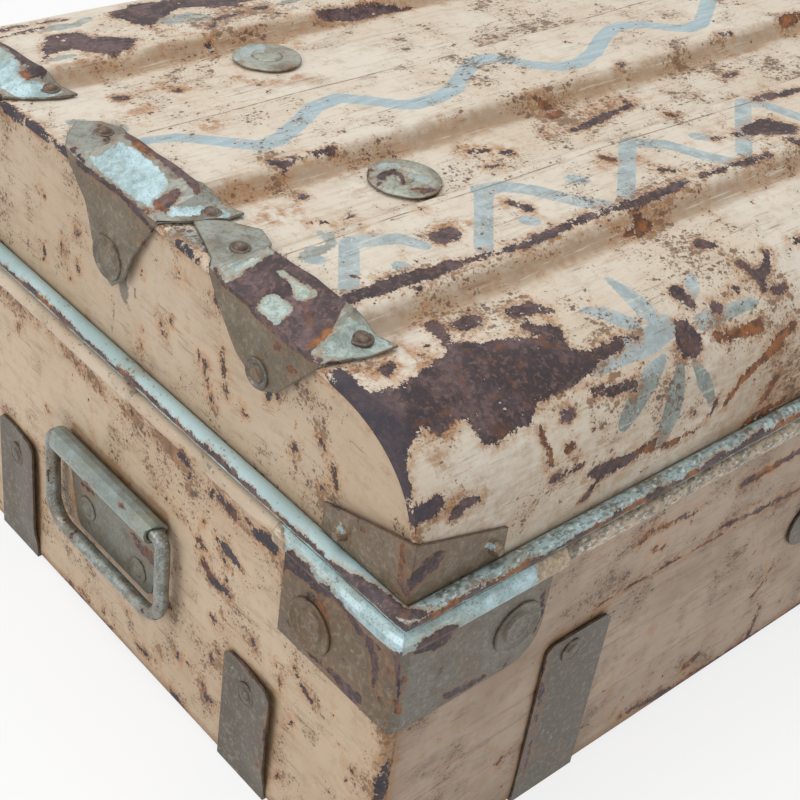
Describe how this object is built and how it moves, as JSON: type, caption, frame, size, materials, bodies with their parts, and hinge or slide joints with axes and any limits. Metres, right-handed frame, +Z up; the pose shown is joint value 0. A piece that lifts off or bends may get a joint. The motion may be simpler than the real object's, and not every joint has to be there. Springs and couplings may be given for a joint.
{
  "type": "decorative trunk",
  "caption": "Pressed-steel trunk with a domed, battened lid on back hinges, a front hasp and a swinging bail handle on each end.",
  "frame": {"origin": "middle of the underside on the ground, midway between the outermost front and back", "axes": "+X along the length, to the right seen from the front; -Y is the front with the hasp; +Z up"},
  "size_m": [0.7924, 0.4938, 0.3161],
  "materials": {
    "cream_paint": "aged cream paint with chips and rust",
    "tan_paint": "aged tan paint with chips and rust",
    "blue_paint": "aged teal paint, chipped",
    "grey_iron": "dull grey metal with rusty edges",
    "worn_steel": "worn bare steel"
  },
  "bodies": {
    "base": {"base_front_panel": "tan_paint", "base_back_panel": "tan_paint", "base_end_left": "tan_paint", "base_end_right": "tan_paint", "base_bottom_panel": "tan_paint", "base_rim_wire": "blue_paint", "base_corner_bracket_front_left": "grey_iron", "base_corner_bracket_front_right": "grey_iron", "base_corner_bracket_back_left": "grey_iron", "base_corner_bracket_back_right": "grey_iron", "front_strap_left": "grey_iron", "front_strap_right": "grey_iron", "back_strap_left": "grey_iron", "back_strap_right": "grey_iron", "end_strap_left_front": "grey_iron", "end_strap_right_front": "grey_iron", "end_strap_left_back": "grey_iron", "end_strap_right_back": "grey_iron", "handle_plate_left": "grey_iron", "handle_plate_right": "grey_iron", "hinge_base_leaf_left": "grey_iron", "hinge_base_leaf_right": "grey_iron", "hinge_pin_left": "worn_steel", "hinge_pin_right": "worn_steel", "staple_plate": "grey_iron", "staple": "worn_steel"},
    "lid": {"lid_skin": "cream_paint", "lid_end_left": "tan_paint", "lid_end_right": "tan_paint", "lid_rim_wire": "blue_paint", "lid_corner_bracket_front_left": "grey_iron", "lid_corner_bracket_front_right": "grey_iron", "lid_corner_bracket_back_left": "grey_iron", "lid_corner_bracket_back_right": "grey_iron", "batten_cap_left_front": "grey_iron", "batten_cap_right_front": "grey_iron", "batten_cap_left_middle": "grey_iron", "batten_cap_right_middle": "grey_iron", "batten_cap_left_rear": "grey_iron", "batten_cap_right_rear": "grey_iron", "hinge_lid_leaf_left": "grey_iron", "hinge_lid_leaf_right": "grey_iron", "hasp_bracket": "grey_iron", "hasp_pin": "worn_steel", "roundel_left_front": "worn_steel", "roundel_right_front": "worn_steel", "roundel_left_back": "worn_steel", "roundel_right_back": "worn_steel", "roundel_backing_left_front": "worn_steel", "roundel_backing_right_front": "worn_steel", "roundel_backing_left_back": "worn_steel", "roundel_backing_right_back": "worn_steel"},
    "hasp": {"hasp_strap": "grey_iron"},
    "bail_left": {"bail_left": "worn_steel"},
    "bail_right": {"bail_right": "worn_steel"}
  },
  "joints": [
    {"name": "lid_hinge", "type": "hinge", "parent": "base", "child": "lid", "pos_m": [0, 0.2434, 0.2035], "axis": [-1, 0, 0], "range_deg": [0, 100]},
    {"name": "hasp_hinge", "type": "hinge", "parent": "lid", "child": "hasp", "pos_m": [0, -0.2332, 0.223], "axis": [-1, 0, 0], "range_deg": [0, 170]},
    {"name": "bail_left_hinge", "type": "hinge", "parent": "base", "child": "bail_left", "pos_m": [-0.389, 0.0016, 0.124], "axis": [0, 1, 0], "range_deg": [0, 170]},
    {"name": "bail_right_hinge", "type": "hinge", "parent": "base", "child": "bail_right", "pos_m": [0.389, 0.0016, 0.124], "axis": [0, -1, 0], "range_deg": [0, 170]}
  ]
}
